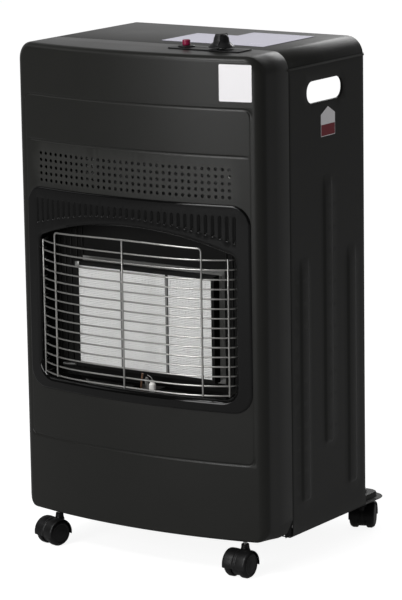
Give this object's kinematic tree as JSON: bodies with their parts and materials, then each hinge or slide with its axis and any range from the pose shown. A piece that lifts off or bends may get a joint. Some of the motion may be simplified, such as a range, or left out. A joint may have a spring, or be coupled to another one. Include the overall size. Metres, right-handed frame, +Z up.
{
  "type": "portable gas cabinet heater",
  "caption": "Free-standing gas cabinet heater with a bowed front, an infrared plaque burner behind a wire guard, an open bottle bay and swivelling twin-wheel casters.",
  "frame": {"origin": "on the floor, at the centre of the bounding box", "axes": "+Z up, +Y to the rear where the bottle goes in, +X to the right of the bowed front, seen from the front"},
  "size_m": [0.416, 0.3802, 0.755],
  "materials": {
    "casing": "satin black-grey stove enamel",
    "window_enamel": "gloss black",
    "wire_chrome": "bright plated wire",
    "chamber_steel": "satin aluminised sheet",
    "bare_steel": "satin zinc plate",
    "ceramic": "matt pale ceramic",
    "brass": "machined",
    "copper": "dull copper",
    "black_plastic": "fine grain",
    "red_plastic": "gloss",
    "porcelain": "glazed",
    "label_film": "printed film, left plain",
    "lead_sheath": "silicone sleeve"
  },
  "bodies": {
    "cabinet": {"front_panel": "casing", "side_panel_right": "casing", "side_panel_left": "casing", "top_cover": "casing", "base_plate": "casing", "heat_shield": "chamber_steel", "window_surround": "window_enamel", "guard_grille": "wire_chrome", "reflector": "chamber_steel", "burner_body": "bare_steel", "burner_frame": "bare_steel", "ceramic_plaque_left": "ceramic", "ceramic_plaque_centre": "ceramic", "ceramic_plaque_right": "ceramic", "pilot_bracket": "bare_steel", "pilot_burner": "bare_steel", "thermocouple": "copper", "electrode_insulator": "porcelain", "electrode_tip": "bare_steel", "ignition_lead": "lead_sheath", "gas_valve": "brass", "valve_bracket": "bare_steel", "gas_inlet_tail": "brass", "main_gas_pipe": "bare_steel", "gas_injector": "brass", "pilot_pipe": "copper", "control_plate": "black_plastic", "igniter_body": "black_plastic", "igniter_nut": "bare_steel", "front_label": "label_film", "side_label": "label_film", "top_label": "label_film", "caster_front_left_stem": "bare_steel", "caster_front_left_nut": "bare_steel", "caster_front_right_stem": "bare_steel", "caster_front_right_nut": "bare_steel", "caster_rear_left_stem": "bare_steel", "caster_rear_left_nut": "bare_steel", "caster_rear_right_stem": "bare_steel", "caster_rear_right_nut": "bare_steel"},
    "knob_slider": {"thrust_washer": "bare_steel"},
    "knob": {"control_knob": "black_plastic", "valve_spindle": "bare_steel"},
    "igniter_push": {"igniter_button": "red_plastic"},
    "caster_front_left": {"caster_front_left_hood": "black_plastic", "caster_front_left_axle": "bare_steel"},
    "wheel_front_left_a": {"caster_front_left_wheel_a": "black_plastic"},
    "wheel_front_left_b": {"caster_front_left_wheel_b": "black_plastic"},
    "caster_front_right": {"caster_front_right_hood": "black_plastic", "caster_front_right_axle": "bare_steel"},
    "wheel_front_right_a": {"caster_front_right_wheel_a": "black_plastic"},
    "wheel_front_right_b": {"caster_front_right_wheel_b": "black_plastic"},
    "caster_rear_left": {"caster_rear_left_hood": "black_plastic", "caster_rear_left_axle": "bare_steel"},
    "wheel_rear_left_a": {"caster_rear_left_wheel_a": "black_plastic"},
    "wheel_rear_left_b": {"caster_rear_left_wheel_b": "black_plastic"},
    "caster_rear_right": {"caster_rear_right_hood": "black_plastic", "caster_rear_right_axle": "bare_steel"},
    "wheel_rear_right_a": {"caster_rear_right_wheel_a": "black_plastic"},
    "wheel_rear_right_b": {"caster_rear_right_wheel_b": "black_plastic"}
  },
  "joints": [
    {"name": "knob_press", "type": "slide", "parent": "cabinet", "child": "knob_slider", "axis": [0, 0, -1], "range_m": [0, 0.0022], "stiffness_N_per_m": 1500, "springref_m": -0.003},
    {"name": "knob_turn", "type": "hinge", "parent": "knob_slider", "child": "knob", "pos_m": [0.113, -0.10182, 0.745], "axis": [0, 0, 1], "range_deg": [0, 240]},
    {"name": "igniter_press", "type": "slide", "parent": "cabinet", "child": "igniter_push", "axis": [0, 0, -1], "range_m": [0, 0.006], "stiffness_N_per_m": 900, "springref_m": -0.004},
    {"name": "swivel_front_left", "type": "hinge", "parent": "cabinet", "child": "caster_front_left", "pos_m": [-0.1615, -0.13082, 0.045], "axis": [0, 0, 1], "continuous": true},
    {"name": "roll_front_left_a", "type": "hinge", "parent": "caster_front_left", "child": "wheel_front_left_a", "pos_m": [-0.16473, -0.14289, 0.019], "axis": [0.9659, -0.2588, 0], "continuous": true},
    {"name": "roll_front_left_b", "type": "hinge", "parent": "caster_front_left", "child": "wheel_front_left_b", "pos_m": [-0.16473, -0.14289, 0.019], "axis": [0.9659, -0.2588, 0], "continuous": true},
    {"name": "swivel_front_right", "type": "hinge", "parent": "cabinet", "child": "caster_front_right", "pos_m": [0.1605, -0.13082, 0.045], "axis": [0, 0, 1], "continuous": true},
    {"name": "roll_front_right_a", "type": "hinge", "parent": "caster_front_right", "child": "wheel_front_right_a", "pos_m": [0.1605, -0.14332, 0.019], "axis": [1, 0, 0], "continuous": true},
    {"name": "roll_front_right_b", "type": "hinge", "parent": "caster_front_right", "child": "wheel_front_right_b", "pos_m": [0.1605, -0.14332, 0.019], "axis": [1, 0, 0], "continuous": true},
    {"name": "swivel_rear_left", "type": "hinge", "parent": "cabinet", "child": "caster_rear_left", "pos_m": [-0.18, 0.15218, 0.045], "axis": [0, 0, 1], "continuous": true},
    {"name": "roll_rear_left_a", "type": "hinge", "parent": "caster_rear_left", "child": "wheel_rear_left_a", "pos_m": [-0.17677, 0.16425, 0.019], "axis": [-0.9659, 0.2588, 0], "continuous": true},
    {"name": "roll_rear_left_b", "type": "hinge", "parent": "caster_rear_left", "child": "wheel_rear_left_b", "pos_m": [-0.17677, 0.16425, 0.019], "axis": [-0.9659, 0.2588, 0], "continuous": true},
    {"name": "swivel_rear_right", "type": "hinge", "parent": "cabinet", "child": "caster_rear_right", "pos_m": [0.18, 0.15218, 0.045], "axis": [0, 0, 1], "continuous": true},
    {"name": "roll_rear_right_a", "type": "hinge", "parent": "caster_rear_right", "child": "wheel_rear_right_a", "pos_m": [0.17532, 0.16377, 0.019], "axis": [-0.9272, -0.3746, 0], "continuous": true},
    {"name": "roll_rear_right_b", "type": "hinge", "parent": "caster_rear_right", "child": "wheel_rear_right_b", "pos_m": [0.17532, 0.16377, 0.019], "axis": [-0.9272, -0.3746, 0], "continuous": true}
  ]
}
